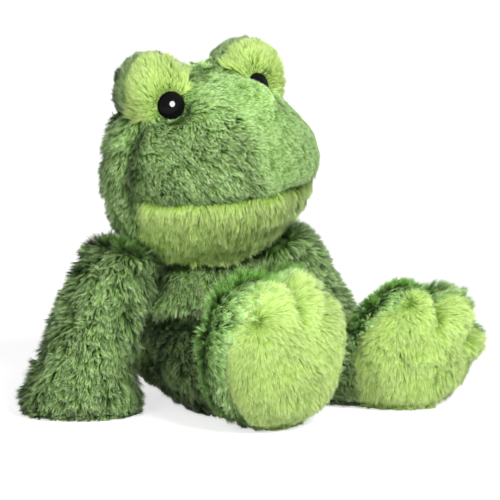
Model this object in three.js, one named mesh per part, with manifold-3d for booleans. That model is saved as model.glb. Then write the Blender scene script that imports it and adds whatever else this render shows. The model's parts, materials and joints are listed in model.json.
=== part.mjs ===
// A stuffed frog of long-pile plush, sitting upright with its hands on the floor beside it.
// Every stuffed form is a cover of plush, sewn from panels, round a core of fibre filling.
// Millimetres. The frog faces -Y, its own left is +X, and its seat rests on Z = 0.

import * as THREE from "three";
import { mergeVertices } from "three/addons/utils/BufferGeometryUtils.js";
import Module from "manifold-3d";

const wasm = await Module();
wasm.setup();

const degrees = THREE.MathUtils.degToRad;
const mix = THREE.MathUtils.lerp;
const vec = (x, y, z) => new THREE.Vector3(x, y, z);
const down = vec(0, 0, -1);

// Cloth and seams
const pile = 7; // thickness of the plush, from its knitted backing to the tips of the pile
const seamGap = 0.4; // left between two sewn edges, and between a cover and its filling
const cutOverrun = 20; // how far a cutting form reaches past what it cuts
const floorPress = 2; // how much of each stuffed form is pressed flat by the floor

// Torso
const torsoWidth = 106;
const torsoDepth = 92;
const torsoHeight = 104;
const torsoSeamBack = 12; // how far behind the middle the side seams run
const pouchWidth = 66;
const pouchDepth = 58;
const pouchHeight = 24;

// Head
const headWidth = 132;
const headLength = 106;
const crownRise = 60; // from the middle of the head up to the crown
const jawDrop = 60; // and down to the chin
const headForward = 10; // how far the head's middle stands in front of the torso's
const neckSink = 30; // how deep the top of the torso reaches into the head
const headTilt = degrees(6); // the head leans towards its right shoulder
const mouthDrop = 14; // the mouth line, below the middle of the head
const mouthSlope = degrees(7); // it rises towards the back
const jawSeamLean = degrees(25); // and the jaw's back edge leans back towards the chin
const cheekSeamForward = 6; // the seam from face to back of head, in front of the middle
const jawSeamForward = 12; // the back edge of the jaw panel, in front of the middle

// Eye mounds and eyes
const moundWidth = 44;
const moundDepth = 44;
const moundHeight = 48;
const moundSpacing = 65; // between the middles of the two mounds
const moundSink = 14; // how far a mound's middle lies below the crown
const moundBack = 4; // how far behind the head's middle
const lidSeamForward = 4; // the seam from the lid to the back, in front of the mound's middle
const eyeRadius = 8;
const eyeRise = 4.6; // height of the domed button
const eyeSeat = 5; // how deep the button's back is pressed into the pile
const eyePlaces = {
  right: { inward: 4.5, drop: 7.5 }, // from the middle of its mound
  left: { inward: 8.5, drop: 5 },
};
const eyeTurnOut = degrees(12);
const eyeTurnUp = degrees(4);
const shankRadius = 2;
const shankEnd = 3; // how far the shank stands out behind its washer
const shankPlay = 0.2;
const washerRadius = 6.5;
const washerThickness = 1.6;

// Arms
const armThickness = 52;
const pawWidth = 90;
const pawDepth = 50;
const shoulderDrop = 26; // from the top of the torso down to the shoulder's hinge
const shoulderWidth = 110; // between the two shoulder hinges
const shoulderRadius = 20; // of the rounded seat in which an arm's root lifts
const shoulderSlope = degrees(21); // of the flat on the shoulder under the head, falling inwards
const headClearance = 0.5; // between that flat and the head as it turns
const handPress = 14; // how much of the hand is pressed flat by the floor
const pawTurn = degrees(35); // of the paw's width, from sideways towards the back
const armPoses = {
  right: { splay: 34, forward: 10 }, // how far the paw stands out from the hinge and before it
  left: { splay: 38, forward: 2 },
};

// Legs
const thighThickness = 54;
const ankleThickness = 44;
const hipSpacing = 58;
const hipHeight = 28; // of the axis on which both legs lift
const hipForward = 30;
const hipRadius = 25; // of the rounded seat in which a thigh lifts
const footWidth = 84;
const footHeight = 87;
const footThickness = 58;
const ankleShare = 0.1; // how far the leg's tube reaches into the foot, as a share of its thickness
const soleSeamDepth = 23; // from the front of the sole back to the seam round it
const toeCount = 3;
const toeSquareness = 2.3;
const heelSquareness = 2.3;
const heelShare = 0.9; // the heel's width, as a share of the foot's
const toeLobeShare = 0.04; // how far the three toes stand out, as a share of the foot's size
const legPoses = {
  right: { across: -24, forward: 96, turn: degrees(4), lean: degrees(8) },
  left: { across: 53, forward: 88, turn: degrees(-12), lean: degrees(50) },
};

// How far the joints move
const headTurn = [degrees(-20), degrees(20)];
const armLift = [degrees(0), degrees(35)];
const legLift = [degrees(-6), degrees(20)];

// How full the forms are. A section or a profile of 2 is an ellipse, and a larger figure fills its corners.
const roundSquareness = 2.2;
const jawSquareness = 2.2;
const crownSquareness = [2.2, 1.6]; // at the back of the head and at the front
const torsoFullness = 2.6;
const headFullness = 2.3;
const moundFullness = 2.2;
const limbFullness = 3;
const footFullness = 2.4;

// Shares of the sizes above, from the seat up, from the back of the head forwards, from the shoulder
// down, and from the hip and the back of the foot forwards
const torsoWidthShares = [0.78, 0.98, 1, 0.93, 0.82, 0.62, 0.5];
const torsoFrontShares = [0.8, 0.98, 1, 0.92, 0.76, 0.6, 0.56];
const torsoBackShares = [0.8, 1, 1, 0.92, 0.78, 0.62, 0.58];
const headWidthShares = [0.8, 0.98, 1.02, 1, 0.93, 0.84];
const crownShares = [0.84, 1, 1.02, 0.93, 0.82, 0.74];
const jawShares = [0.82, 0.98, 1, 0.97, 0.88, 0.74];
const moundShares = [-0.5, 0, 0.5];
const armLevelShares = [-0.06, 0.06, 0.28, 0.5, 0.76, 1];
const armOutShares = [-0.6, 0, 0.5, 0.72, 0.9, 1];
const armWidthShares = [0.95, 1, 1.02, 1.04, 1.4, 2];
const armDepthShares = [0.95, 1, 1, 1, 1.05, 1.1];
const legShares = [-0.19, 0.12, 0.5, 1];
const footShares = [-0.5, -0.2, 0.2, 0.5];
const pouchShares = [0, 0.5, 1];
const domeShares = [0, 0.2, 0.4, 0.6, 0.8];

// How finely the stuffed forms are divided
const torsoMesh = { rings: 9, sides: 18 };
const headMesh = { rings: 11, sides: 20 };
const moundMesh = { rings: 6, sides: 12 };
const limbMesh = { rings: 8, sides: 12 };
const footMesh = { rings: 5, sides: 26 };
const seatSides = 24;
const eyeSides = 16;
const sweepSteps = 2;
const reachSteps = 8;

const plush = (colour) => new THREE.MeshStandardMaterial({ color: colour, roughness: 0.95, metalness: 0 });
const green = () => plush(0x759158);
const lime = () => plush(0xb4d078);
const fibre = () => plush(0xf2f0e8);
const pouchCloth = () => plush(0xe6e2d4);
const eyePlastic = () => new THREE.MeshStandardMaterial({ color: 0x050505, roughness: 0.08 });
const washerPlastic = () => new THREE.MeshStandardMaterial({ color: 0xe8e8e4, roughness: 0.5 });

// Solids and cuts

// A closed geometry as a solid, turned outside out if its faces point inwards.
function solidFrom(geometry) {
  const bare = geometry.clone();
  bare.deleteAttribute("normal");
  bare.deleteAttribute("uv");
  const merged = mergeVertices(bare);
  const triVerts = new Uint32Array(merged.index.array);
  const mesh = { numProp: 3, vertProperties: merged.attributes.position.array, triVerts };
  const made = new wasm.Manifold(new wasm.Mesh(mesh));
  if (made.volume() > 0) {
    return made;
  }
  for (let i = 0; i < triVerts.length; i += 3) {
    [triVerts[i + 1], triVerts[i + 2]] = [triVerts[i + 2], triVerts[i + 1]];
  }
  return new wasm.Manifold(new wasm.Mesh(mesh));
}

const moved = (solid, matrix) => solid.transform([...matrix.elements]);
const joined = (solids) => solids.reduce((whole, next) => whole.add(next));
const without = (solid, cuts) => cuts.reduce((left, cut) => left.subtract(cut), solid);

// The main body of a solid, without the crumbs that cuts can leave.
function largestOf(solid) {
  return solid.decompose().reduce((main, next) => (next.volume() > main.volume() ? next : main));
}

// All that lies beyond a plane, as a block larger than the frog.
function beyond(point, normal) {
  const size = 4 * (torsoHeight + headWidth + cutOverrun);
  const block = new THREE.BoxGeometry(size, size, size).translate(0, 0, size / 2);
  const turn = new THREE.Quaternion().setFromUnitVectors(vec(0, 0, 1), normal.clone().normalize());
  return solidFrom(block.applyQuaternion(turn).translate(point.x, point.y, point.z));
}

// A solid parted by a plane into the piece in front of its seam and the piece behind it.
function parted(solid, point, normal) {
  const half = normal.clone().normalize().multiplyScalar(seamGap / 2);
  const ahead = beyond(point.clone().add(half), normal);
  const astern = beyond(point.clone().sub(half), normal);
  return [solid.intersect(ahead), solid.subtract(astern)];
}

// A cylinder between two points.
function rod(from, to, radius) {
  const axis = to.clone().sub(from);
  const geometry = new THREE.CylinderGeometry(radius, radius, axis.length(), seatSides);
  const turn = new THREE.Quaternion().setFromUnitVectors(vec(0, 1, 0), axis.clone().normalize());
  const middle = from.clone().add(to).divideScalar(2);
  return solidFrom(geometry.applyQuaternion(turn).translate(middle.x, middle.y, middle.z));
}

function turnAbout(point, axis, angle) {
  const turn = new THREE.Matrix4().makeRotationAxis(axis.clone().normalize(), angle);
  const there = new THREE.Matrix4().makeTranslation(point);
  return there.multiply(turn).multiply(new THREE.Matrix4().makeTranslation(point.clone().negate()));
}

// What a fixed solid sweeps through, as seen from a piece that turns on a hinge through its range.
function sweptBy(solid, hinge, range) {
  const copies = [];
  for (let step = 0; step <= sweepSteps; step++) {
    const angle = -mix(range[0], range[1], step / sweepSteps);
    copies.push(moved(solid, turnAbout(hinge.at, hinge.axis, angle)));
  }
  return joined(copies);
}

// How far a solid reaches in a direction.
function reachOf(solid, direction) {
  const { vertProperties } = solid.getMesh();
  let reach = -Infinity;
  for (let i = 0; i < vertProperties.length; i += 3) {
    reach = Math.max(reach, vec(...vertProperties.subarray(i, i + 3)).dot(direction));
  }
  return reach;
}

// How far a solid reaches in a direction while its hinge, or that of the piece that looks on, turns.
function reachInTurns(solid, direction, turns) {
  let reach = -Infinity;
  for (let own = 0; own <= reachSteps; own++) {
    for (let other = 0; other <= reachSteps; other++) {
      const [first, second] = [own, other].map((step, i) => {
        const { hinge, range } = turns[i];
        return turnAbout(hinge.at, hinge.axis, mix(range[0], range[1], step / reachSteps));
      });
      reach = Math.max(reach, reachOf(moved(solid, second.invert().multiply(first)), direction));
    }
  }
  return reach;
}

// Stuffed forms

// How full a bag is at a share of the way along it: 0 at both poles and 1 in the middle.
const endFullness = (share, fullness) => (1 - Math.abs(2 * share - 1) ** fullness) ** (1 / fullness);

// A point of a superellipse of half-sizes 1, at an angle from the across axis.
function roundedPoint(angle, squareness) {
  const grow = (value) => Math.sign(value) * Math.abs(value) ** (2 / squareness);
  return [grow(Math.cos(angle)), grow(Math.sin(angle))];
}

const roundPoint = (angle) => roundedPoint(angle, roundSquareness);

// A stuffed bag: sections strung on a curved spine and drawn in to a pole at each end. A station has
// its place and the section's half-sizes: across, front and back. Front is the cross product of the
// across axis and the spine. Inset makes the same bag smaller all round.
function bag(form, inset = 0) {
  const { stations, acrossAxis, fullness, mesh, outline = roundPoint } = form;
  const places = new THREE.CatmullRomCurve3(stations.map((s) => s.at));
  const sizes = new THREE.CatmullRomCurve3(stations.map((s) => vec(s.across, s.front, s.back)));
  const trim = inset / places.getLength();
  const rings = [];
  for (let ring = 0; ring <= mesh.rings; ring++) {
    const share = (1 - Math.cos((Math.PI * ring) / mesh.rings)) / 2;
    const along = mix(trim, 1 - trim, share);
    const inside = THREE.MathUtils.clamp(along, 0, 1);
    const spine = places.getTangent(inside);
    const middle = places.getPoint(inside).addScaledVector(spine, (along - inside) * places.getLength());
    if (ring === 0 || ring === mesh.rings) {
      rings.push([middle]);
      continue;
    }
    const size = sizes.getPoint(inside).subScalar(inset).multiplyScalar(endFullness(share, fullness));
    const across = acrossAxis.clone().addScaledVector(spine, -acrossAxis.dot(spine)).normalize();
    const front = new THREE.Vector3().crossVectors(across, spine);
    rings.push(
      Array.from({ length: mesh.sides }, (_, side) => {
        const [x, y] = outline((2 * Math.PI * side) / mesh.sides, share);
        return middle
          .clone()
          .addScaledVector(across, x * size.x)
          .addScaledVector(front, y * (y > 0 ? size.y : size.z));
      }),
    );
  }
  return solidFrom(closedSkin(rings, mesh));
}

// The skin over a list of rings of points, of which the first and the last are single points.
function closedSkin(rings, mesh) {
  const faces = [];
  const last = rings.flat().length - 1;
  const at = (ring, side) => 1 + (ring - 1) * mesh.sides + (side % mesh.sides);
  for (let side = 0; side < mesh.sides; side++) {
    faces.push(0, at(1, side), at(1, side + 1));
    for (let ring = 1; ring < mesh.rings - 1; ring++) {
      faces.push(at(ring, side), at(ring + 1, side), at(ring, side + 1));
      faces.push(at(ring, side + 1), at(ring + 1, side), at(ring + 1, side + 1));
    }
    faces.push(at(mesh.rings - 1, side), last, at(mesh.rings - 1, side + 1));
  }
  return new THREE.BufferGeometry().setFromPoints(rings.flat()).setIndex(faces);
}

// A bag's outside, the room inside its cover and the core that fills the room, pressed flat where they
// meet the floor.
function stuffed(form) {
  const above = (solid, height) => solid.subtract(beyond(vec(0, 0, height), down));
  return {
    outside: above(bag(form), 0),
    room: above(bag(form, pile), pile),
    core: above(bag(form, pile + seamGap), pile + seamGap),
  };
}

// Torso: a pear of plush in a front and a back panel, with filling, and a pouch of pellets in the seat

const torsoForm = {
  stations: torsoWidthShares.map((share, i, all) => ({
    at: vec(0, 0, mix(-floorPress, torsoHeight, i / (all.length - 1))),
    across: (torsoWidth / 2) * share,
    front: (torsoDepth / 2) * torsoFrontShares[i],
    back: (torsoDepth / 2) * torsoBackShares[i],
  })),
  acrossAxis: vec(1, 0, 0),
  fullness: torsoFullness,
  mesh: torsoMesh,
};

const neckHinge = { at: vec(0, 0, torsoHeight), axis: vec(0, 0, 1) };
const hipHinge = { at: vec(0, -hipForward, hipHeight), axis: vec(-1, 0, 0) };
const shoulderHinge = (side) => ({
  at: vec((side * shoulderWidth) / 2, 0, torsoHeight - shoulderDrop),
  axis: vec(0, -side, 0),
});

// The rounded seats in which an arm's root and a thigh turn.
function limbSeats(grow) {
  const seats = [];
  for (const side of [-1, 1]) {
    const shoulder = shoulderHinge(side).at;
    const reach = vec(0, armThickness / 2 + grow, 0);
    seats.push(rod(shoulder.clone().sub(reach), shoulder.clone().add(reach), shoulderRadius + grow));
    const hip = hipHinge.at.clone().add(vec((side * hipSpacing) / 2, 0, 0));
    const width = vec(thighThickness / 2 + grow, 0, 0);
    seats.push(rod(hip.clone().sub(width), hip.clone().add(width), hipRadius + grow));
  }
  return joined(seats);
}

// The torso as other pieces meet it: grown all round by a gap.
const torsoMet = bag(torsoForm, -seamGap).subtract(limbSeats(0));
const torsoParts = stuffed(torsoForm);
const torsoSkin = torsoParts.outside.subtract(limbSeats(seamGap)).subtract(torsoParts.room);
const [torsoFront, torsoBack] = parted(torsoSkin, vec(0, torsoSeamBack, 0), vec(0, -1, 0));

const pouchForm = (grow) => ({
  stations: pouchShares.map((share) => ({
    at: vec(0, 0, pile + 2 * seamGap - grow + share * (pouchHeight + 2 * grow)),
    across: pouchWidth / 2 + grow,
    front: pouchDepth / 2 + grow,
    back: pouchDepth / 2 + grow,
  })),
  acrossAxis: vec(1, 0, 0),
  fullness: limbFullness,
  mesh: limbMesh,
});
const seatCuts = [limbSeats(2 * seamGap), bag(pouchForm(seamGap))];
const torsoFilling = without(torsoParts.core, seatCuts);
const pouch = bag(pouchForm(0)).intersect(torsoParts.core).subtract(limbSeats(2 * seamGap));

// Head: two face panels that meet down the middle, a back panel and a jaw, sewn round one filling

const headMiddle = vec(0, -headForward, torsoHeight - neckSink + jawDrop);
const headPose = turnAbout(headMiddle, vec(0, -1, 0), headTilt);
const inHeadPose = (solid) => moved(solid, headPose);
const onHead = (across, back, up) => headMiddle.clone().add(vec(across, back, up));
const headForm = {
  stations: headWidthShares.map((share, i, all) => ({
    at: onHead(0, headLength * (0.5 - i / (all.length - 1)), 0),
    across: (headWidth / 2) * share,
    front: jawDrop * jawShares[i],
    back: crownRise * crownShares[i],
  })),
  acrossAxis: vec(1, 0, 0),
  fullness: headFullness,
  mesh: headMesh,
  outline: headPoint,
};

// A section of the head: full below, and drawn in towards the crown between the eyes.
function headPoint(angle, along) {
  const crown = mix(...crownSquareness, THREE.MathUtils.smoothstep(along, 0, 1));
  return roundedPoint(angle, Math.sin(angle) > 0 ? jawSquareness : crown);
}

const neckRoom = sweptBy(torsoMet, neckHinge, headTurn);
const headMet = bag(headForm, -seamGap);

// Parts the head's cover: the jaw first, then the back of the head, then the two halves of the face.
function headPanels(skin) {
  const front = onHead(0, -headLength / 2, -mouthDrop);
  const belowMouth = vec(0, Math.sin(mouthSlope), -Math.cos(mouthSlope));
  const corner = onHead(0, -jawSeamForward, -mouthDrop);
  const beforeCorner = vec(0, -Math.cos(jawSeamLean), -Math.sin(jawSeamLean));
  const jawBlock = (shift) =>
    beyond(front.clone().addScaledVector(belowMouth, shift), belowMouth).intersect(
      beyond(corner.clone().addScaledVector(beforeCorner, shift), beforeCorner),
    );
  const jaw = skin.intersect(jawBlock(seamGap / 2));
  const rest = skin.subtract(jawBlock(-seamGap / 2));
  const [face, back] = parted(rest, onHead(0, -cheekSeamForward, 0), vec(0, -1, 0));
  const [left, right] = parted(face, headMiddle, vec(1, 0, 0));
  return { jaw, back, left, right };
}

// Eye mounds: a lid of lime plush in front, with the eye, and a green back

const moundMiddle = (side) => onHead((side * moundSpacing) / 2, moundBack, crownRise - moundSink);
const moundForm = (side) => ({
  stations: moundShares.map((share) => ({
    at: moundMiddle(side).add(vec(0, 0, moundHeight * share)),
    across: moundWidth / 2,
    front: moundDepth / 2,
    back: moundDepth / 2,
  })),
  acrossAxis: vec(1, 0, 0),
  fullness: moundFullness,
  mesh: moundMesh,
});

// A turned solid set on a mound. Its profile runs along the eye's axis, which starts at the surface
// of the lid and points outwards.
function turnedAtEye(side, profile) {
  const points = profile.map(([radius, along]) => new THREE.Vector2(radius, along));
  const out = vec(side * Math.sin(eyeTurnOut), -Math.cos(eyeTurnOut), Math.sin(eyeTurnUp)).normalize();
  const { inward, drop } = side < 0 ? eyePlaces.right : eyePlaces.left;
  const start = moundMiddle(side).add(vec(-side * inward, 0, -drop));
  const place = start.addScaledVector(out, moundDepth / 2);
  const turn = new THREE.Quaternion().setFromUnitVectors(vec(0, 1, 0), out);
  const geometry = new THREE.LatheGeometry(points, eyeSides).applyQuaternion(turn);
  return solidFrom(geometry.translate(place.x, place.y, place.z));
}

const washerFront = -pile - seamGap;
const washerBack = washerFront - washerThickness;
const shankTip = washerBack - shankEnd;

// The button's dome as a share of a quarter turn, from its rim to its crown.
function domePoint(share) {
  const angle = (share * Math.PI) / 2;
  return [eyeRadius * Math.cos(angle), -eyeSeat + eyeRise * Math.sin(angle)];
}

function eyeButton(side) {
  const dome = domeShares.map(domePoint);
  const shank = [
    [0, shankTip],
    [shankRadius, shankTip],
    [shankRadius, -eyeSeat],
  ];
  return turnedAtEye(side, [...shank, ...dome, [0, eyeRise - eyeSeat]]);
}

function eyeWasher(side) {
  const hole = shankRadius + shankPlay;
  const corners = [
    [hole, washerBack],
    [washerRadius, washerBack],
    [washerRadius, washerFront],
    [hole, washerFront],
  ];
  return turnedAtEye(side, [...corners, corners[0]]);
}

// The room that an eye and its washer take up in the lid and the filling behind it.
function eyeRoom(side) {
  return turnedAtEye(side, [
    [0, shankTip - seamGap],
    [shankRadius + seamGap, shankTip - seamGap],
    [shankRadius + seamGap, washerBack - seamGap],
    [washerRadius + seamGap, washerBack - seamGap],
    [washerRadius + seamGap, washerFront + seamGap],
    [shankRadius + seamGap, washerFront + seamGap],
    [shankRadius + seamGap, -eyeSeat - seamGap],
    [eyeRadius + seamGap, -eyeSeat - seamGap],
    [eyeRadius + seamGap, cutOverrun],
    [0, cutOverrun],
  ]);
}

// Arms: a tube of plush that widens into a flat hand on the floor

function armForm(side) {
  const hinge = shoulderHinge(side).at;
  const { splay, forward } = side < 0 ? armPoses.right : armPoses.left;
  const drop = torsoHeight - shoulderDrop + handPress;
  return {
    stations: armLevelShares.map((level, i) => ({
      at: hinge.clone().add(vec(side * splay * armOutShares[i], -forward * level, -drop * level)),
      across: Math.min((armThickness / 2) * armWidthShares[i], pawWidth / 2),
      front: Math.min((armThickness / 2) * armDepthShares[i], pawDepth / 2),
      back: Math.min((armThickness / 2) * armDepthShares[i], pawDepth / 2),
    })),
    acrossAxis: vec(side * Math.cos(pawTurn), Math.sin(pawTurn), 0),
    fullness: limbFullness,
    mesh: limbMesh,
  };
}

// What an arm gives way to as it lifts: the torso, and the turning head, under which its shoulder is flat.
function armGivesWay(side) {
  const hinge = shoulderHinge(side);
  const fromHead = vec(side * Math.sin(shoulderSlope), 0, -Math.cos(shoulderSlope));
  const turns = [
    { hinge: neckHinge, range: headTurn },
    { hinge, range: armLift },
  ];
  const drop = reachInTurns(inHeadPose(headMet), fromHead, turns) + headClearance;
  const underHead = beyond(fromHead.clone().multiplyScalar(drop), fromHead.clone().negate());
  return [sweptBy(torsoMet, hinge, armLift), underHead];
}

// Legs: a tube of plush from the hip to the heel, and a thick foot that stands on its heel

function legForms(side) {
  const { across, forward, turn, lean } = side < 0 ? legPoses.right : legPoses.left;
  const hip = hipHinge.at.clone().add(vec((side * hipSpacing) / 2, 0, 0));
  const heel = vec(across, -forward, 0);
  const up = vec(Math.sin(lean), 0, Math.cos(lean));
  const ahead = vec(Math.sin(turn), -Math.cos(turn), 0);
  const ankle = heel.clone().addScaledVector(up, ankleThickness / 2);
  ankle.addScaledVector(ahead, footThickness * ankleShare);
  const tube = {
    stations: legShares.map((share) => ({
      at: hip.clone().lerp(ankle, share),
      across: mix(thighThickness, ankleThickness, share) / 2,
      front: mix(thighThickness, ankleThickness, share) / 2,
      back: mix(thighThickness, ankleThickness, share) / 2,
    })),
    acrossAxis: vec(1, 0, 0),
    fullness: limbFullness,
    mesh: limbMesh,
  };
  const middle = heel.clone().addScaledVector(up, footHeight / 2 - floorPress);
  const foot = {
    stations: footShares.map((share) => ({
      at: middle.clone().addScaledVector(ahead, footThickness * share),
      across: footWidth / 2,
      front: footHeight / 2,
      back: footHeight / 2,
    })),
    acrossAxis: new THREE.Vector3().crossVectors(ahead, up),
    fullness: footFullness,
    mesh: footMesh,
    outline: footPoint,
  };
  return { tube, foot, middle, ahead };
}

// The foot's outline: broad at the three toes along the top and narrower at the heel.
function footPoint(angle) {
  const height = Math.sin(angle);
  const toes = height > 0 ? height * Math.cos(2 * toeCount * (angle - Math.PI / 2)) : 0;
  const [x, y] = roundedPoint(angle, height > 0 ? toeSquareness : heelSquareness);
  const narrowing = mix(1, heelShare, Math.max(0, -height));
  return [x * (1 + toeLobeShare * toes) * narrowing, y * (1 + toeLobeShare * toes)];
}

function legParts(side) {
  const { tube, foot, middle, ahead } = legForms(side);
  const thigh = stuffed(tube);
  const pad = stuffed(foot);
  const footSkin = without(pad.outside, [pad.room, thigh.room]);
  const soleSeam = middle.clone().addScaledVector(ahead, footThickness / 2 - soleSeamDepth);
  const [sole, footBack] = parted(footSkin, soleSeam, ahead);
  return {
    cover: without(thigh.outside, [thigh.room, bag(foot, -seamGap)]),
    footBack,
    sole,
    filling: thigh.core.add(pad.core),
  };
}

// The frog

const group = new THREE.Group();

function addPiece(name, solid, material) {
  const { vertProperties, triVerts } = largestOf(solid).getMesh();
  const geometry = new THREE.BufferGeometry();
  geometry.setAttribute("position", new THREE.BufferAttribute(vertProperties, 3));
  geometry.setIndex(new THREE.BufferAttribute(triVerts, 1));
  geometry.computeVertexNormals();
  const mesh = new THREE.Mesh(geometry, material);
  mesh.name = name;
  group.add(mesh);
}

addPiece("torso_front_panel", torsoFront, green());
addPiece("torso_back_panel", torsoBack, green());
addPiece("torso_filling", torsoFilling, fibre());
addPiece("seat_pellet_pouch", pouch, pouchCloth());

const neckInHead = moved(neckRoom, headPose.clone().invert());
const headCuts = [neckInHead, eyeRoom(-1), eyeRoom(1)];
const panels = headPanels(without(bag(headForm).subtract(bag(headForm, pile)), headCuts));
addPiece("head_face_panel_left", inHeadPose(panels.left), green());
addPiece("head_face_panel_right", inHeadPose(panels.right), green());
addPiece("head_back_panel", inHeadPose(panels.back), green());
addPiece("head_jaw_panel", inHeadPose(panels.jaw), lime());
addPiece("head_filling", inHeadPose(without(bag(headForm, pile + seamGap), headCuts)), fibre());

for (const [side, name] of [
  [-1, "right"],
  [1, "left"],
]) {
  const mound = stuffed(moundForm(side));
  const moundCuts = [headMet, eyeRoom(side)];
  const moundSkin = without(mound.outside.subtract(mound.room), moundCuts);
  const lidSeam = moundMiddle(side).add(vec(0, -lidSeamForward, 0));
  const [lid, moundBackPanel] = parted(moundSkin, lidSeam, vec(0, -1, 0));
  addPiece(`eye_mound_lid_${name}`, inHeadPose(lid), lime());
  addPiece(`eye_mound_back_${name}`, inHeadPose(moundBackPanel), green());
  addPiece(`eye_mound_filling_${name}`, inHeadPose(without(mound.core, moundCuts)), fibre());
  addPiece(`eye_button_${name}`, inHeadPose(eyeButton(side)), eyePlastic());
  addPiece(`eye_washer_${name}`, inHeadPose(eyeWasher(side)), washerPlastic());

  const arm = stuffed(armForm(side));
  const armCuts = armGivesWay(side);
  addPiece(`arm_cover_${name}`, without(arm.outside.subtract(arm.room), armCuts), green());
  addPiece(`arm_filling_${name}`, without(arm.core, armCuts), fibre());

  const leg = legParts(side);
  const legCuts = [sweptBy(torsoMet, hipHinge, legLift)];
  addPiece(`leg_cover_${name}`, without(leg.cover, legCuts), green());
  addPiece(`foot_back_panel_${name}`, leg.footBack, green());
  addPiece(`sole_panel_${name}`, leg.sole, lime());
  addPiece(`leg_filling_${name}`, without(leg.filling, legCuts), fibre());
}

export default group;
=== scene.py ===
import json
import math
from collections import namedtuple

import bmesh
import bpy
import numpy as np
from mathutils import Matrix, Vector
from mathutils.bvhtree import BVHTree
from mathutils.kdtree import KDTree
from mathutils.noise import noise_vector, seed_set


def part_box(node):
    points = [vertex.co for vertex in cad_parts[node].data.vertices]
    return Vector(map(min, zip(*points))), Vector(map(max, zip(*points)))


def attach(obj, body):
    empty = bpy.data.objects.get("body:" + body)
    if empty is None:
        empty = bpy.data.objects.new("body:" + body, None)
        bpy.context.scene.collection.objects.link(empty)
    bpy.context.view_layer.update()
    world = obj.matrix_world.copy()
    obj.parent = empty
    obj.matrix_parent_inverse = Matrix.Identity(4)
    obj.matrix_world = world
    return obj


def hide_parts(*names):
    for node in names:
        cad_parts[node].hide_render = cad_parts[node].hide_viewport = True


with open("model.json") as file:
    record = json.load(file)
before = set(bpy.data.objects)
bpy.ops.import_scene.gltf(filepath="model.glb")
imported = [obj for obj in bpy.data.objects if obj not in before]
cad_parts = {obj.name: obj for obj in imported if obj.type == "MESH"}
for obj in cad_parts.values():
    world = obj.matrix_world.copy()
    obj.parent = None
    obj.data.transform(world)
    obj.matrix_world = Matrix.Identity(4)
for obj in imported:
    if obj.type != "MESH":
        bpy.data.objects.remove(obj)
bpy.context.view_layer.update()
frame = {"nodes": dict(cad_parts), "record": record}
MM = 0.001

# Camera: a long lens from the frog's front right, a little above its middle.
CAMERA_AZIMUTH = -35
CAMERA_ELEVATION = 7.5
CAMERA_DISTANCE = 1.2
CAMERA_LENS = 149.8
AIM_RIGHT = 0.0276
AIM_HEIGHT = 0.0845

azimuth, elevation = math.radians(CAMERA_AZIMUTH), math.radians(CAMERA_ELEVATION)
across_view = Vector((math.cos(azimuth), math.sin(azimuth), 0))
level_view = Vector((-math.sin(azimuth), math.cos(azimuth), 0))
into_view = level_view * math.cos(elevation) - Vector((0, 0, math.sin(elevation)))
camera_data = bpy.data.cameras.new("camera")
camera_data.lens = CAMERA_LENS
camera = bpy.data.objects.new("camera", camera_data)
bpy.context.scene.collection.objects.link(camera)
aim = across_view * AIM_RIGHT + Vector((0, 0, AIM_HEIGHT))
camera.location = aim - into_view * CAMERA_DISTANCE
camera.rotation_euler = into_view.to_track_quat("-Z", "Y").to_euler()
bpy.context.scene.camera = camera


# Skins of torso, head, arms and legs: knitted pile cloth, sewn inside out, turned and stuffed. The solids of
# each body are swollen until they overlap, made one closed skin of quads, smoothed, and drawn in by most of
# the pile's height, so that the pile's tips stand at the solids' surface.
PILE_ROOT = 4.0 * MM
VOXEL = 3.0 * MM
SMOOTHING = 14
MERGE_SPREAD = 0.45 * MM
FLOOR_CLEAR = 0.4 * MM
FLATTENED = 6 * MM
EYE_PARTS = ("eye_button", "eye_washer")


def gathered(nodes, spread=0):
    """The points and faces of some CAD solids, each swollen by a spread."""
    verts, faces = [], []
    for node in nodes:
        mesh = frame["nodes"][node].data
        first = len(verts)
        verts += [v.co + v.normal * spread for v in mesh.vertices]
        faces += [[first + i for i in polygon.vertices] for polygon in mesh.polygons]
    return verts, faces


def applied(obj):
    """The object with its modifiers made part of its mesh."""
    shaped = bpy.data.meshes.new_from_object(obj.evaluated_get(bpy.context.evaluated_depsgraph_get()))
    obj.modifiers.clear()
    old = obj.data
    obj.data = shaped
    bpy.data.meshes.remove(old)
    return obj


def keep_largest_shell(mesh):
    """Deletes every shell of a mesh but the one with most points."""
    shape = bmesh.new()
    shape.from_mesh(mesh)
    unseen = set(shape.verts)
    shells = []
    while unseen:
        stack = [unseen.pop()]
        shell = set(stack)
        while stack:
            for edge in stack.pop().link_edges:
                for vert in edge.verts:
                    if vert in unseen:
                        unseen.remove(vert)
                        shell.add(vert)
                        stack.append(vert)
        shells.append(shell)
    shells.sort(key=len)
    for shell in shells[:-1]:
        bmesh.ops.delete(shape, geom=list(shell), context="VERTS")
    shape.to_mesh(mesh)
    shape.free()


def coordinates(mesh, normals=False):
    """The points of a mesh, or their normals, as an array."""
    values = np.zeros(len(mesh.vertices) * 3)
    source = mesh.vertex_normals if normals else mesh.vertices
    source.foreach_get("vector" if normals else "co", values)
    return values.reshape(-1, 3)


def set_coordinates(mesh, places):
    mesh.vertices.foreach_set("co", places.ravel())
    mesh.update()


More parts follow.
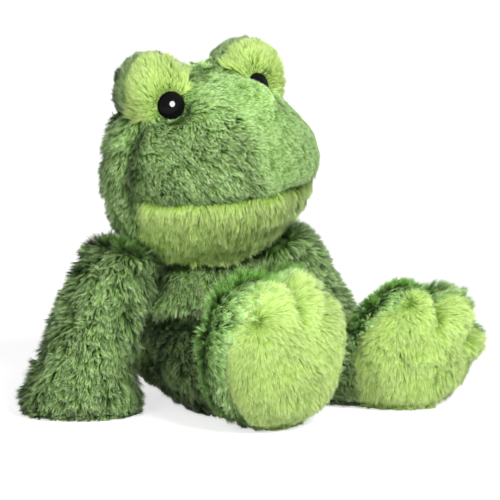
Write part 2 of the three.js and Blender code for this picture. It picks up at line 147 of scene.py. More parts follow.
def stuffed_skin(name, nodes):
    """The closed skin of one stuffed form, at the height of the pile's roots."""
    solids = bpy.data.meshes.new("solids")
    verts, faces = gathered(nodes, MERGE_SPREAD)
    solids.from_pydata(verts, [], faces)
    skin = bpy.data.objects.new(name, solids)
    bpy.context.scene.collection.objects.link(skin)
    remesh = skin.modifiers.new("remesh", "REMESH")
    remesh.mode = "VOXEL"
    remesh.voxel_size = VOXEL
    applied(skin)
    keep_largest_shell(skin.data)
    smooth = skin.modifiers.new("smooth", "SMOOTH")
    smooth.iterations = SMOOTHING
    divide = skin.modifiers.new("divide", "SUBSURF")
    divide.levels = 1
    applied(skin)
    mesh = skin.data
    outside = coordinates(mesh)
    inside = outside - coordinates(mesh, normals=True) * PILE_ROOT
    on_floor = np.clip(1 - outside[:, 2] / FLATTENED, 0, 1)
    inside[:, 2] = np.maximum(inside[:, 2] * (1 - on_floor) + FLOOR_CLEAR * on_floor, FLOOR_CLEAR)
    set_coordinates(mesh, inside)
    mesh.polygons.foreach_set("use_smooth", [True] * len(mesh.polygons))
    return skin


bodies = frame["record"]["behaviour"]["bodies"]
skins = {}
for body, nodes in bodies.items():
    stuffed = [node for node in nodes if not node.startswith(EYE_PARTS)]
    skin = stuffed_skin(f"{body}_skin", stuffed)
    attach(skin, body)
    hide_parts(*stuffed)
    skins[body] = skin


# Panels: the pieces of cloth that a cover is sewn from. Each face of a skin belongs to the CAD panel that
# it lies nearest to, which gives its dye.
COVER_WORDS = ("panel", "cover", "mound_")
LIME = ("head_jaw", "eye_mound_lid", "sole")


def panel_names(body):
    """The CAD nodes of a body that are cloth."""
    return [node for node in bodies[body] if "filling" not in node and any(word in node for word in COVER_WORDS)]


def is_lime(panel):
    return panel.startswith(LIME)


def solid_tree(nodes):
    """A search tree over some CAD solids."""
    return BVHTree.FromPolygons(*gathered(nodes))


def nearest_panels(body):
    """For each face of a body's skin, the index of its panel in panel_names."""
    trees = [solid_tree([panel]) for panel in panel_names(body)]
    nearest = []
    for face in skins[body].data.polygons:
        outside = face.center + face.normal * PILE_ROOT
        distances = [tree.find_nearest(outside)[3] for tree in trees]
        nearest.append(int(np.argmin(distances)))
    return nearest


face_panels = {body: nearest_panels(body) for body in bodies}


# Seams: lines of thread that draw the cloth in, deepest where the filling stands proud on both sides, and
# hardly at the crown of the head. Each pair of panels has its seam's depth and half-width in millimetres.
SEAMS = {
    ("head_face", "head_jaw"): (3.0, 3.6),
    ("head_back", "head_jaw"): (2.0, 4.0),
    ("head_back", "head_face"): (4.5, 6.0),
    ("eye_mound", "head"): (2.5, 5.0),
    ("eye_mound", "eye_mound"): (1.5, 4.0),
    ("foot_back", "sole"): (2.4, 4.0),
    ("foot_back", "leg"): (2.5, 6.0),
    ("torso", "torso"): (1.5, 5.0),
}
CROWN = (146 * MM, 176 * MM)
CROWN_FULLNESS = 0.8
RESTING = 3 * MM


def smoothstep(values, low, high):
    """From 0 at a low value to 1 at a high one."""
    share = np.clip((values - low) / (high - low), 0, 1)
    return share * share * (3 - 2 * share)


def hump(gap, width):
    """1 where a gap is none, falling to nothing at about twice a width."""
    return np.exp(-((gap / width) ** 2))


def seam_between(first, second):
    for (one, other), size in SEAMS.items():
        if first.startswith(one) and second.startswith(other) or first.startswith(other) and second.startswith(one):
            return size
    return None


def draw_in_seams(body):
    """Draws a skin in along the seams between its panels."""
    mesh = skins[body].data
    names = panel_names(body)
    touching = [set() for _ in mesh.vertices]
    for polygon, panel in zip(mesh.polygons, face_panels[body]):
        for vertex in polygon.vertices:
            touching[vertex].add(panel)
    lines = {}
    for vertex, panels in enumerate(touching):
        if len(panels) > 1:
            first, second = (names[i] for i in sorted(panels)[:2])
            size = seam_between(first, second)
            if size:
                lines.setdefault(size, []).append(vertex)
    places, normals = coordinates(mesh), coordinates(mesh, normals=True)
    drawn = np.zeros(len(places))
    for (depth, width), vertices in lines.items():
        tree = KDTree(len(vertices))
        for i, vertex in enumerate(vertices):
            tree.insert(places[vertex], i)
        tree.balance()
        away = np.array([tree.find(place)[2] for place in places])
        drawn = np.maximum(drawn, depth * MM * hump(away, width * MM))
    drawn[places[:, 2] < RESTING] = 0
    drawn *= 1 - CROWN_FULLNESS * smoothstep(places[:, 2], *CROWN)
    set_coordinates(mesh, places - normals * drawn[:, None])


for body in bodies:
    draw_in_seams(body)


# Backing: the cloth of knitted polyester yarn that holds the pile and is dyed with it. Its ribs are seen
# only where the pile parts. At a scale of 1 the wave texture has one wave in each WAVE_LENGTH.
RIB_SPACING = 7.54 * MM
RIB_BUMP = 0.2 * MM
WAVE_LENGTH = 2 * math.pi / 20


def linear(colour):
    """A hex colour as linear red, green, blue and alpha."""
    channels = [int(colour[i : i + 2], 16) / 255 for i in (1, 3, 5)]
    return [c / 12.92 if c <= 0.04045 else ((c + 0.055) / 1.055) ** 2.4 for c in channels] + [1.0]


def add(tree, kind, inputs=None, **settings):
    """A node with its settings, and its inputs set to a value or linked from a socket."""
    node = tree.nodes.new(kind)
    for name, value in settings.items():
        setattr(node, name, value)
    for name, value in (inputs or {}).items():
        if isinstance(value, bpy.types.NodeSocket):
            tree.links.new(value, node.inputs[name])
        else:
            node.inputs[name].default_value = value
    return node


def material(name, sockets):
    """A new material of one Principled surface with some sockets set, its tree and its surface node."""
    made = bpy.data.materials.new(name)
    made.use_nodes = True
    tree = made.node_tree
    surface = tree.nodes["Principled BSDF"]
    for socket, value in sockets.items():
        surface.inputs[socket].default_value = value
    return made, tree, surface


def ramp(tree, factor, stops):
    """A colour ramp over a factor, with stops given as place and colour."""
    node = add(tree, "ShaderNodeValToRGB", {"Fac": factor})
    elements = node.color_ramp.elements
    while len(elements) < len(stops):
        elements.new(1)
    for element, (place, colour) in zip(elements, stops):
        element.position = place
        element.color = linear(colour)
    return node.outputs["Color"]


def backing_material(name, dark, light):
    made, tree, surface = material(name, {"Roughness": 0.95})
    place = add(tree, "ShaderNodeTexCoord").outputs["Object"]
    scale = WAVE_LENGTH / RIB_SPACING
    ribs = add(tree, "ShaderNodeTexWave", {"Vector": place, "Scale": scale, "Distortion": 2.0}).outputs["Fac"]
    tree.links.new(ramp(tree, ribs, [(0.0, dark), (1.0, light)]), surface.inputs["Base Color"])
    bump = add(tree, "ShaderNodeBump", {"Height": ribs, "Strength": 0.4, "Distance": RIB_BUMP})
    tree.links.new(bump.outputs["Normal"], surface.inputs["Normal"])
    return made


green_backing = backing_material("backing green knit", "#2c441a", "#4a6a30")
lime_backing = backing_material("backing lime knit", "#5e7f2e", "#7fa244")
for body, skin in skins.items():
    skin.data.materials.append(green_backing)
    skin.data.materials.append(lime_backing)
    names = panel_names(body)
    skin.data.polygons.foreach_set("material_index", [int(is_lime(names[i])) for i in face_panels[body]])


# Feet: a lime sole and a green back, sewn round their edge. Two notches part the three toes, and a stitch
# draws the sole in at a dimple beside the first toe. A foot's turn and lean are in degrees, and so are the
# angles of its notches and its dimple, which run from 0 at its side to 90 at its top.
SIDES = {"right": -1, "left": 1}
UP = np.array([0.0, 0.0, 1.0])
FOOT_TURN = {"right": 4, "left": -12}
FOOT_LEAN = {"right": 8, "left": 50}
FOOT_BACK = 38 * MM
FOOT_FADE = 10 * MM
SOLE_DEPTH = 14 * MM
NOTCH_ANGLES = {"right": (102, 64), "left": (127, 79)}
NOTCH_SHARES = {"right": (1.0, 0.4), "left": (0.8, 1.0)}
NOTCH_DEPTH = 12 * MM
NOTCH_WIDTH = 6 * MM
NOTCH_FROM = 0.3
NOTCH_FADE = 0.6
NOTCH_CURVE = 1.3
NOTCH_TO_MIDDLE = 0.8
DIMPLE_ANGLE = {"right": 152, "left": 162}
DIMPLE_SHARE = {"right": 0.74, "left": 0.8}
DIMPLE_DEPTH = 4.5 * MM
DIMPLE_WIDTH = 8 * MM
TOE_HEIGHTS = (0.3, 0.85)
TOE_DIRECTIONS = (0.2, 0.7)
OVERHANG_FADE = (0.5, 0.9)
FOOT_RISE = 2 * MM
FOOT_RISE_HEIGHTS = (2 * MM, 12 * MM)
HEEL_TUCK = 11 * MM
HEEL_CORNER = (0.82, -0.57)
HEEL_CORNER_FADE = (0.6, 0.98)
HEEL_TUCK_FALL = 0.25


def unit(vectors):
    return vectors / np.maximum(np.linalg.norm(vectors, axis=-1, keepdims=True), 1e-9)


def foot_frame(side):
    """The middle of a foot, its half-height, and the directions across, up and ahead of it."""
    turn, lean = math.radians(FOOT_TURN[side]), math.radians(FOOT_LEAN[side])
    ahead = np.array([math.sin(turn), -math.cos(turn), 0])
    across = unit(np.cross([math.sin(lean), 0, math.cos(lean)], ahead))
    up = np.cross(ahead, across)
    axes = np.array([across, up, ahead])
    spans = coordinates(frame["nodes"][f"sole_panel_{side}"].data) @ axes.T
    low, high = spans.min(0), spans.max(0)
    return (low + high) / 2 @ axes, (high[1] - low[1]) / 2, across, up, ahead


foot_frames = {side: foot_frame(side) for side in SIDES}


def dimple_of(side):
    """Where the sole is drawn in, in the middle of the foot's thickness."""
    middle, half, across, up, _ = foot_frames[side]
    angle = math.radians(DIMPLE_ANGLE[side])
    return middle + half * DIMPLE_SHARE[side] * (math.cos(angle) * across + math.sin(angle) * up)


def foot_share(side, places):
    """Where a leg is its foot: fully from the foot's back forward, and none on the thigh."""
    middle, _, _, _, ahead = foot_frames[side]
    return np.clip(((places - middle) @ ahead + FOOT_BACK) / FOOT_FADE, 0, 1)


def toe_share(side, places):
    """Where the toes of a foot are: none at half of its height, fully near its top."""
    middle, half, _, up, _ = foot_frames[side]
    off = places - middle
    return smoothstep(off @ up / half, *TOE_HEIGHTS) * smoothstep(unit(off) @ up, *TOE_DIRECTIONS)


def overhang_share(side, places):
    """Where the fur of a foot's back hangs forward over the sole: beside the dimple."""
    middle = foot_frames[side][0]
    return smoothstep(unit(places - middle) @ unit(dimple_of(side) - middle), *OVERHANG_FADE)


def carve_toes(side):
    """Parts the toes of one foot, and draws its sole in at the dimple."""
    mesh = skins[f"leg_{side}"].data
    middle, half, across, up, ahead = foot_frames[side]
    places, normals = coordinates(mesh), coordinates(mesh, normals=True)
    off = places - middle
    x, y, z = off @ across, off @ up, off @ ahead
    drawn = np.zeros(len(places))
    for angle, share in zip(NOTCH_ANGLES[side], NOTCH_SHARES[side]):
        to_x, to_y = math.cos(math.radians(angle)), math.sin(math.radians(angle))
        along, beside = x * to_x + y * to_y, x * to_y - y * to_x
        reach = np.clip((along / half - NOTCH_FROM) / NOTCH_FADE, 0, 1)
        drawn += share * NOTCH_DEPTH * reach**NOTCH_CURVE * hump(beside, NOTCH_WIDTH)
    from_dimple = places - dimple_of(side)
    away = np.hypot(from_dimple @ across, from_dimple @ up)
    drawn += np.where(z > -SOLE_DEPTH, DIMPLE_DEPTH * hump(away, DIMPLE_WIDTH), 0)
    radius = np.maximum(np.hypot(x, y), MM)
    from_middle = (x / radius)[:, None] * across + (y / radius)[:, None] * up
    outwards = unit(normals + NOTCH_TO_MIDDLE * from_middle)
    moved = places - outwards * (drawn * foot_share(side, places))[:, None]
    moved[:, 2] = np.maximum(moved[:, 2], FLOOR_CLEAR)
    set_coordinates(mesh, moved)


def push_out(mesh, places, normals, rise):
    """Sets a skin's points at some places, raised along their normals, and none on the floor or below it."""
    moved = places + normals * rise[:, None]
    moved[:, 2] = np.maximum(moved[:, 2], np.minimum(places[:, 2], 2 * FLOOR_CLEAR))
    set_coordinates(mesh, moved)


def fill_out_foot(side):
    """Brings a foot's skin nearer to its CAD cover, and tapers the left foot to its heel."""
    mesh = skins[f"leg_{side}"].data
    places, normals = coordinates(mesh), coordinates(mesh, normals=True)
    on_foot = foot_share(side, places)
    rise = FOOT_RISE * on_foot * smoothstep(places[:, 2], *FOOT_RISE_HEIGHTS)
    if side == "left":
        rise -= FOOT_RISE * overhang_share(side, places)
        middle, _, _, _, ahead = foot_frames[side]
        outwards = np.cross(ahead, UP)
        outwards *= np.sign(outwards[0])
        off = places - middle
        around = unit(off - (off @ ahead)[:, None] * ahead)
        corner = unit(HEEL_CORNER[0] * outwards + HEEL_CORNER[1] * UP)
        tucked = smoothstep(around @ corner, *HEEL_CORNER_FADE) * on_foot
        places = places - HEEL_TUCK * tucked[:, None] * unit(outwards - HEEL_TUCK_FALL * UP)
    push_out(mesh, places, normals, rise)


for side in SIDES:
    carve_toes(side)
    fill_out_foot(side)


# Arms: stuffed tubes of the same green cloth, sewn to the torso and full at the paw. The cloth stands up
# at the shoulder, under the head.
SHOULDER_FROM = 66 * MM
SHOULDER_FADE = 10 * MM
SHOULDER_ACROSS = (58 * MM, 88 * MM)
SHOULDER_TILT = (0.3, 0.8)
SHOULDER_RISE = 6 * MM
PAW_HEIGHT = (6 * MM, 34 * MM)
PAW_RISE = 3.5 * MM


def shoulder_share(places, normals):
    """Where the top of an arm's cover stands up under the head."""
    inner = 1 - smoothstep(np.abs(places[:, 0]), *SHOULDER_ACROSS)
    upper = smoothstep(places[:, 2], SHOULDER_FROM, SHOULDER_FROM + SHOULDER_FADE)
    return inner * upper * smoothstep(normals[:, 2], *SHOULDER_TILT)


for side in SIDES:
    mesh = skins[f"arm_{side}"].data
    places, normals = coordinates(mesh), coordinates(mesh, normals=True)
    in_paw = 1 - smoothstep(places[:, 2], *PAW_HEIGHT)
    push_out(mesh, places, normals, SHOULDER_RISE * shoulder_share(places, normals) + PAW_RISE * in_paw)


# Head: a face of two halves over a lime jaw, and an eye mound on each side. The left half of the face is
# brushed flat and the right half rough, from a seam down the middle of the muzzle. The filling stands out
# at the brows, the muzzle and the left mound's back, and the jaw's left end is tucked in under the muzzle.
SEAM_FADE = (-9 * MM, 5 * MM)
MOUND_FADE = (0.85, 1.05)
HEAD_RISE = 1 * MM
MUZZLE_RISE = 3 * MM
MUZZLE_FADE = (-2 * MM, 8 * MM)
MOUND_BACK_RISE = 6 * MM
MOUND_BACK_WIDTH = 10 * MM
MOUND_BACK_OFF = np.array([-10, 7, 0]) * MM
JAW_TUCK = 4.5 * MM
JAW_TUCK_BELOW = (1 * MM, 8 * MM)
JAW_TUCK_ACROSS = (5 * MM, 30 * MM)
BROW_RISE = {"right": 2 * MM, "left": 8 * MM}
BROW_WIDTH = {"right": 9 * MM, "left": 12 * MM}
BROW_INWARDS = {"right": 11.5 * MM, "left": 10.5 * MM}
BROW_AHEAD = {"right": 14 * MM, "left": 15 * MM}
BROW_BELOW = {"right": 2 * MM, "left": 3 * MM}
RIM_FROM = 0.97


def eye_of(side):
    """The middle, axis and radius of a CAD button, and where its back and its crown lie on the axis."""
    places = coordinates(frame["nodes"][f"eye_button_{side}"].data)
    middle = places.mean(0)
    _, spreads, directions = np.linalg.svd(places - middle, full_matrices=False)
    axis = directions[0] if spreads[0] - spreads[1] > spreads[1] - spreads[2] else directions[2]
    axis = -axis * np.sign(axis[1])
    along = (places - middle) @ axis
    radius = np.linalg.norm(places - middle - along[:, None] * axis, axis=1)
    back = along[radius > radius.max() * RIM_FROM].min()
    return middle, axis, radius.max(), back, along.max()


eyes = {side: eye_of(side) for side in SIDES}
face_trees = {side: solid_tree([f"head_face_panel_{side}"]) for side in SIDES}
face_low, face_high = (np.array(corner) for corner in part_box("head_face_panel_right"))
jaw_low, jaw_high = (np.array(corner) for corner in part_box("head_jaw_panel"))


def brushed_share(places):
    """How far the pile of the face is brushed flat: none on its right half, fully on its left."""
    past_seam = [
        face_trees["right"].find_nearest(Vector(place))[3] - face_trees["left"].find_nearest(Vector(place))[3]
        for place in places
    ]
    return smoothstep(np.array(past_seam), *SEAM_FADE)


def mound_share(places):
    """Where the head's skin is one of the two mounds round the eyes."""
    share = np.zeros(len(places))
    for side in SIDES:
        corners = np.array([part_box(f"eye_mound_{panel}_{side}") for panel in ("lid", "back")])
        low, high = corners[:, 0].min(0), corners[:, 1].max(0)
        off = (places - (low + high) / 2) / (high - low) * 2
        share = np.maximum(share, 1 - smoothstep(np.linalg.norm(off, axis=1), *MOUND_FADE))
    return share


def rise_of_head(places):
    """How far the head's skin is raised at some places."""
    over_mouth = smoothstep(places[:, 2] - face_low[2], *MUZZLE_FADE) * (1 - smoothstep(places[:, 2], *CROWN))
    rise = HEAD_RISE + MUZZLE_RISE * brushed_share(places) * over_mouth * (1 - mound_share(places))
    low, high = np.array(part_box("eye_mound_back_left"))
    mound_back = (low + high) / 2 + MOUND_BACK_OFF
    rise += MOUND_BACK_RISE * hump(np.linalg.norm(places - mound_back, axis=1), MOUND_BACK_WIDTH)
    tucked = smoothstep(jaw_high[2] - places[:, 2], *JAW_TUCK_BELOW) * smoothstep(places[:, 0], *JAW_TUCK_ACROSS)
    in_front = 1 - smoothstep(places[:, 1], (jaw_low[1] + jaw_high[1]) / 2, jaw_high[1])
    rise -= JAW_TUCK * tucked * in_front
    for side, sign in SIDES.items():
        brow = eyes[side][0] - np.array([sign * BROW_INWARDS[side], BROW_AHEAD[side], BROW_BELOW[side]])
        rise += BROW_RISE[side] * hump(np.linalg.norm(places - brow, axis=1), BROW_WIDTH[side])
    return rise


mesh = skins["head"].data
places, normals = coordinates(mesh), coordinates(mesh, normals=True)
push_out(mesh, places, normals, rise_of_head(places))


# Pile: soft strands of dyed polyester, knitted into the backing. Each panel has its strands' length in
# millimetres, how upright they stand, how far tufts pull together, a tuft's width in millimetres, how calm
# its dye and its lie are, its strands to the square millimetre, and how light it is. On the jaw and the leg
# that lightness holds painted shade, and on the foot's back painted light.
Pile = namedtuple("Pile", "length upright pull tuft calm density tone")
PILES = {
    "head_face": Pile(5.5, 0.9, 0.85, 1.2, -0.2, 9.5, 0.02),
    # Painted shade: the jaw is darker, for the shade under the face; painted light lifts it low down.
    "head_jaw": Pile(7.0, 0.45, 0.35, 1.2, 0.3, 8.0, -0.3),
    "head_back": Pile(7.0, 0.8, 0.9, 1.4, -0.3, 4.4, 0.1),
    "eye_mound": Pile(6.5, 0.7, 0.5, 1.3, 0.25, 8.5, -0.12),
    "sole": Pile(6.5, 0.45, 0.3, 1.3, 0.5, 8.5, 0.0),
    # Painted light: the foot's back is lighter, for its side that faces away from the lamps and its backlit fringe.
    "foot_back": Pile(7.5, 0.85, 0.7, 1.4, -0.1, 6.5, 0.42),
    # Painted shade: the leg is darker, for the thigh that lies in shade.
    "leg": Pile(7.0, 0.8, 0.9, 1.4, -0.2, 5.5, -0.2),
    "arm": Pile(7.5, 0.8, 0.9, 1.4, -0.4, 6.2, 0.1),
    "torso_front": Pile(7.0, 0.7, 0.8, 1.3, -0.1, 6.0, -0.14),
    "torso_back": Pile(7.0, 0.7, 0.8, 1.3, -0.1, 4.5, -0.08),
}
STRAND_WIDTH = 0.3 * MM
STRAND_WIDTH_DENSITY = 8


def row_of(table, panel):
    """The row of a table whose name starts a panel's name."""
    return next(row for name, row in table.items() if panel.startswith(name))


def side_of(panel):
    return panel.rsplit("_", 1)[-1]


# A strand's own map runs from its root to its tip across, and over the dye's shades upwards.
def pile_material(name, root, body, tip, darkest, lightest):
    made, tree, surface = material(
        name, {"Roughness": 0.62, "Sheen Weight": 0.12, "Sheen Roughness": 0.5, "Specular IOR Level": 0.25}
    )
    strand_map = add(tree, "ShaderNodeUVMap", uv_map="OFBake").outputs["UV"]
    along = add(tree, "ShaderNodeSeparateXYZ", {"Vector": strand_map}).outputs
    # Painted shade: the colour darkens from the body to a very dark root, for the shade deep within the pile.
    colour = ramp(tree, along["X"], [(0.0, root), (0.15, root), (0.6, body), (1.0, tip)])
    shade = add(tree, "ShaderNodeMapRange", {"Value": along["Y"], "To Min": darkest, "To Max": lightest})
    shaded = add(tree, "ShaderNodeVectorMath", {0: colour, "Scale": shade.outputs["Result"]}, operation="SCALE")
    tree.links.new(shaded.outputs["Vector"], surface.inputs["Base Color"])
    return made


# The dark root colours are painted shade deep within the pile.
green_pile = pile_material("pile green polyester", "#142a06", "#6c9244", "#c3dba3", 0.2, 2.0)
lime_pile = pile_material("pile lime polyester", "#5d8222", "#b2d368", "#e0f2aa", 0.66, 1.3)

# How each panel was cut and brushed: the shares of slow drift, of the directions sideways, forwards and
# upwards, and of the direction away from what its pile is parted round, in the way that it lies.
Lie = namedtuple("Lie", "drift sideways forwards upwards away")
LIES = {
    "head_face": Lie(1.0, 0.5, 0.3, -0.55, 0.0),
    "head_jaw": Lie(0.25, 0.0, 0.0, -1.0, 0.25),
    "head_back": Lie(1.0, 0.0, 0.0, -1.0, 0.3),
    "eye_mound": Lie(0.4, 0.0, 0.0, 0.3, 1.0),
    "sole": Lie(0.4, 0.0, 0.0, -0.6, 1.0),
    "foot_back": Lie(1.0, 0.0, 0.6, -0.2, 0.6),
    "leg": Lie(1.0, 0.2, 0.7, -0.5, 0.0),
    "arm": Lie(1.0, 0.35, 0.0, -1.0, 0.0),
    "torso": Lie(1.0, 0.0, 0.0, -1.0, 0.2),
}
BRUSHED_LIE = Lie(0.2, 0.85, -0.3, -0.5, 0.0)
ACROSS = np.array([1.0, 0.0, 0.0])
AHEAD = np.array([0.0, -1.0, 0.0])
NOSE = np.array([face_high[0], face_low[1], (face_low[2] + face_high[2]) / 2])
LIE_DRIFT = 0.6
LIE_DRIFT_SIZE = 20 * MM
OVERHANG_AHEAD = 1.3

# Without a set seed, the noise would differ in each run.
DRIFT_SEED = 2
seed_set(DRIFT_SEED)


def drift_of(places, size, shift=0.0):
    """A slow noise over the cloth, three values to a place, each from about -1 to 1."""
    return np.array([noise_vector(Vector(place / size + shift)) for place in places])


def from_eye(side, places):
    """How far places lie from the axis of an eye, and the directions away from it."""
    middle, axis, _, _, _ = eyes[side]
    off = places - middle
    away = off - (off @ axis)[:, None] * axis
    return np.linalg.norm(away, axis=1), unit(away)


def away_from_parting(panel, places):
    """The directions away from the place, or the line, round which a panel's pile is parted."""
    side = side_of(panel)
    if panel.startswith("head"):
        return unit(places - NOSE)
    if panel.startswith("eye_mound"):
        return from_eye(side, places)[1]
    if panel.startswith("sole"):
        return unit(places - dimple_of(side))
    if panel.startswith("foot_back"):
        return unit(places - foot_frames[side][0])
    return unit(places * ACROSS)


def lie_of(panel, places, cloth):
    """The direction in which a panel's pile lies at some places."""
    drift = drift_of(places, LIE_DRIFT_SIZE) * LIE_DRIFT
    away = away_from_parting(panel, places)
    sign = 1 if panel.startswith("head_face") else SIDES.get(side_of(panel), 0)
    ahead = foot_frames[side_of(panel)][4] if panel.startswith("foot_back") else AHEAD

    def laid(lie):
        steady = lie.sideways * sign * ACROSS + lie.forwards * ahead + lie.upwards * UP
        return lie.drift * drift + steady + lie.away * away

    rough = laid(row_of(LIES, panel))
    brushed = (laid(BRUSHED_LIE) - rough) * cloth["brushed"][:, None]
    return rough + brushed + OVERHANG_AHEAD * cloth["overhanging"][:, None] * ahead


# Cloth: how its pile differs from place to place. It is rough or smooth, brushed flat on the muzzle, flatter
# on the crown, stands up at the shoulders, and is long at the toes and where it hangs over a sole. Painted
# light lightens the crown, the fringe that hangs over a sole and the jaw low down, whose top is left darker
# as painted shade under the face; painted shade darkens the belly low down.
ROUGH_SIZE = 15 * MM
ROUGH_SHIFT = 7.0
ROUGH_MIDDLE = 0.5
ROUGH_SPREAD = 0.9
ROUGH_OUTWARDS = 0.7
TORSO_SMOOTHER = 0.3
TONE_SHIFT = 3.0
PAINTED_BELLY_SHADE = (22 * MM, 62 * MM)
PAINTED_JAW_LIGHT_FADE = (8 * MM, 30 * MM)
LONGER = {"standing": 0.35, "toes": 0.55}
LONGER_OVERHANG = {"right": 0.5, "left": 0.1}
# How much each state lightens the pile's tone: the drift is tone that differs at random, the crown, the overhanging
# fringe and the low jaw get painted light, and the belly painted shade.
LIGHTER = {"drifting": 0.16, "brushed": 0.02, "crown_flat_and_painted_light": 0.22, "overhanging": 0.5, "painted_low_jaw_light": 0.48, "shaded": -0.14}
CALMER = {"smooth": 0.6, "brushed": 0.95, "crown_flat_and_painted_light": 0.4}
CALM_LIMITS = (-0.5, 1)
UPRIGHT_OF_ROUGH = (0.6, 1.4)
PULL_OF_ROUGH = (0.5, 1.1)
BRUSHED_SHORTER = 0.1
BRUSHED_FLATTER = 0.7
BRUSHED_LOOSER = 0.8
CROWN_FLATTER = 0.4
STANDING_UPRIGHT = 0.9
FLOOR_TRIM = (1 * MM, 10 * MM)
FLOOR_SHORTEST = 0.5
FLOOR_LEVEL = 8 * MM
EYE_TRIM = 7 * MM
EYE_SHORTER = 0.75
BEHIND_EYE = 15 * MM


def cloth_of(panel, places, normals):
    """What a panel's cloth is like at some places, each state from 0 to 1."""
    none = np.zeros(len(places))
    side, height = side_of(panel), places[:, 2]
    brushed = brushed_share(places) if panel.startswith("head_face") else none
    rough = ROUGH_MIDDLE + ROUGH_SPREAD * drift_of(places, ROUGH_SIZE, ROUGH_SHIFT)[:, 2]
    if panel.startswith("arm"):
        rough = rough + normals[:, 0] * SIDES[side] * ROUGH_OUTWARDS
    if panel.startswith("torso"):
        rough = rough - TORSO_SMOOTHER
    rough = np.clip(rough, 0, 1)
    return {
        "rough": rough,
        "smooth": 1 - rough,
        "brushed": brushed,
        "drifting": drift_of(places, ROUGH_SIZE, TONE_SHIFT)[:, 0] * (1 - brushed),
        # Painted light: the crown's pile is lighter and more even in tone, as if lit from above; it also lies flatter
        # there.
        "crown_flat_and_painted_light": smoothstep(height, *CROWN) if panel.startswith("head") else none,
        "standing": shoulder_share(places, normals) if panel.startswith("arm") else none,
        "toes": toe_share(side, places) if panel.startswith(("sole", "foot_back")) else none,
        "overhanging": overhang_share(side, places) if panel.startswith("foot_back") else none,
        # Painted light: the jaw is lighter low down, and its top is left darker as painted shade under the face.
        "painted_low_jaw_light": smoothstep(jaw_high[2] - height, *PAINTED_JAW_LIGHT_FADE) if panel.startswith("head_jaw") else none,
        # Painted shade: the belly is darker low down, where it lies in shade.
        "shaded": 1 - smoothstep(height, *PAINTED_BELLY_SHADE) if panel.startswith("torso") else none,
    }


def weighed(weights, cloth):
    return sum(weight * cloth[state] for state, weight in weights.items())


def between(limits, share):
    return limits[0] + (limits[1] - limits[0]) * share


def trimmed_round_eyes(panel, places):
    """How short the pile is cut near the eyes, and the directions away from them in which it lies there.
    The left half of the face isn't cut, and hides the foot of its eye."""
    trim, lie = np.ones(len(places)), np.zeros(places.shape)
    for side, (middle, _, radius, _, _) in eyes.items():
        if panel.startswith("head_face") and side == "left":
            continue
        gap, away = from_eye(side, places)
        near = 1 - smoothstep(gap - radius, 0, EYE_TRIM)
        near[places[:, 1] > middle[1] + BEHIND_EYE] = 0
        trim *= 1 - EYE_SHORTER * near
        lie += away * near[:, None]
    return trim, lie


def pile_values(body, panel, places, normals):
    """What the pile needs at each of some places on a panel: its length, stance, pull, calm, tone and lie."""
    pile, cloth = row_of(PILES, panel), cloth_of(panel, places, normals)
    lie = lie_of(panel, places, cloth)
    longer = 1 + weighed(LONGER, cloth) + LONGER_OVERHANG.get(side_of(panel), 0) * cloth["overhanging"]
    low, high = FLOOR_TRIM
    length = pile.length * MM * longer * np.clip((places[:, 2] - low) / (high - low), FLOOR_SHORTEST, 1)
    if body == "head":
        trim, lie_round_eyes = trimmed_round_eyes(panel, places)
        length = length * trim
        lie = lie + lie_round_eyes
    lie = unit(lie - normals * (lie * normals).sum(1, keepdims=True))
    lie[:, 2] = np.where(places[:, 2] < FLOOR_LEVEL, np.maximum(lie[:, 2], 0), lie[:, 2])
    brushed, crown_flat_and_painted_light = cloth["brushed"], cloth["crown_flat_and_painted_light"]
    upright = pile.upright * between(UPRIGHT_OF_ROUGH, cloth["rough"])
    upright = upright * (1 - BRUSHED_FLATTER * brushed) * (1 - CROWN_FLATTER * crown_flat_and_painted_light)
    pull = pile.pull * between(PULL_OF_ROUGH, cloth["rough"])
    return {
        "pile": length * (1 - BRUSHED_SHORTER * brushed),
        "upright": upright + STANDING_UPRIGHT * cloth["standing"],
        "pull": pull * (1 - BRUSHED_LOOSER * brushed),
        "calm": np.clip(pile.calm + weighed(CALMER, cloth), *CALM_LIMITS),
        "tone": pile.tone + weighed(LIGHTER, cloth),
        "lie": lie,
    }


# Patches: the pile grows on the faces of its own panel, and on none that press on another body, stand on
# the floor or lie under an eye.
CONTACT = 2.5 * MM
CONTACT_FROM = 0.8
UNDER_EYE = 0.9
UNDER_EYE_BEHIND = 4 * MM
GROUNDED_BELOW = 1.5 * MM
GROUNDED_TILT = -0.5


def bare_faces(patch, body, panel, others):
    """The faces of a skin that carry none of a panel's pile."""
    index = panel_names(body).index(panel)
    centres = np.array([face.calc_center_median() for face in patch.faces])
    under_eye = np.zeros(len(centres), bool)
    if body == "head":
        for side, (middle, _, radius, _, _) in eyes.items():
            in_front = centres[:, 1] < middle[1] + UNDER_EYE_BEHIND
            under_eye |= (from_eye(side, centres)[0] < radius * UNDER_EYE) & in_front
    bare = []
    for face, centre, nearest, hidden in zip(patch.faces, centres, face_panels[body], under_eye):
        outside = Vector(centre) + face.normal * PILE_ROOT * CONTACT_FROM
        pressed = others.ray_cast(outside, face.normal, CONTACT)[0] is not None
        grounded = centre[2] < GROUNDED_BELOW and face.normal.z < GROUNDED_TILT
        if nearest != index or pressed or grounded or hidden:
            bare.append(face)
    return bare


